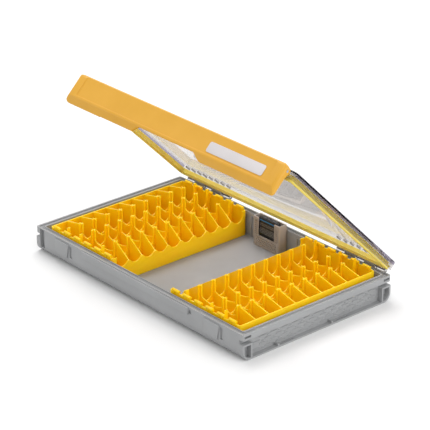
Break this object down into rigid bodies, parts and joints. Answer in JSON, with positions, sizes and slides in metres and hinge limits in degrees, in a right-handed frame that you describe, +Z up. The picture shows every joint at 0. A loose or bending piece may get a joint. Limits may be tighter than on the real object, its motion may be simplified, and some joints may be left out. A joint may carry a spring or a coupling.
{
  "type": "tackle box",
  "caption": "Flat hinged jig box: grey tray with lift-out hook racks, clear lid with seal, full-length latch bar and drying-agent holder.",
  "frame": {"origin": "centre of the tray's flat underside", "axes": "+X along the hinge, to the right as seen from the latch side; +Y from the latch side to the hinge; +Z up"},
  "size_m": [0.356, 0.2264, 0.2024],
  "materials": {
    "grey_plastic": "fine moulded texture",
    "clear_plastic": "polished clear moulding",
    "seal_rubber": "soft moulded gasket",
    "latch_yellow": "soft satin over-moulding",
    "rack_yellow": "satin moulded",
    "steel": "drawn and cut rod",
    "label_film": "write-on film",
    "packet_film": "crinkled printed film",
    "packet_print": "printed panel with plain bars"
  },
  "bodies": {
    "tray": {"tray": "grey_plastic", "hinge_pin_left": "steel", "hinge_pin_right": "steel", "desiccant_holder": "grey_plastic"},
    "lid": {"lid": "clear_plastic", "lid_seal": "seal_rubber", "latch_pin_left": "steel", "latch_pin_right": "steel"},
    "latch": {"latch_bar": "latch_yellow", "latch_label": "label_film"},
    "rack_left": {"jig_rack_left": "rack_yellow"},
    "rack_right": {"jig_rack_right": "rack_yellow"},
    "packet": {"desiccant_packet": "packet_film", "packet_label": "packet_print"}
  },
  "joints": [
    {"name": "lid_hinge", "type": "hinge", "parent": "tray", "child": "lid", "pos_m": [0, 0.112, 0.0314], "axis": [-1, 0, 0], "range_deg": [-45, 60]},
    {"name": "latch_hinge", "type": "hinge", "parent": "lid", "child": "latch", "pos_m": [0, -0.04342, 0.19559], "axis": [-1, 0, 0], "range_deg": [0, 60]},
    {"name": "rack_left_lift", "type": "slide", "parent": "tray", "child": "rack_left", "axis": [0, 0, 1], "range_m": [0, 0.006]},
    {"name": "rack_right_lift", "type": "slide", "parent": "tray", "child": "rack_right", "axis": [0, 0, 1], "range_m": [0, 0.006]},
    {"name": "packet_lift", "type": "slide", "parent": "tray", "child": "packet", "axis": [0, 0, 1], "range_m": [0, 0.004]}
  ]
}
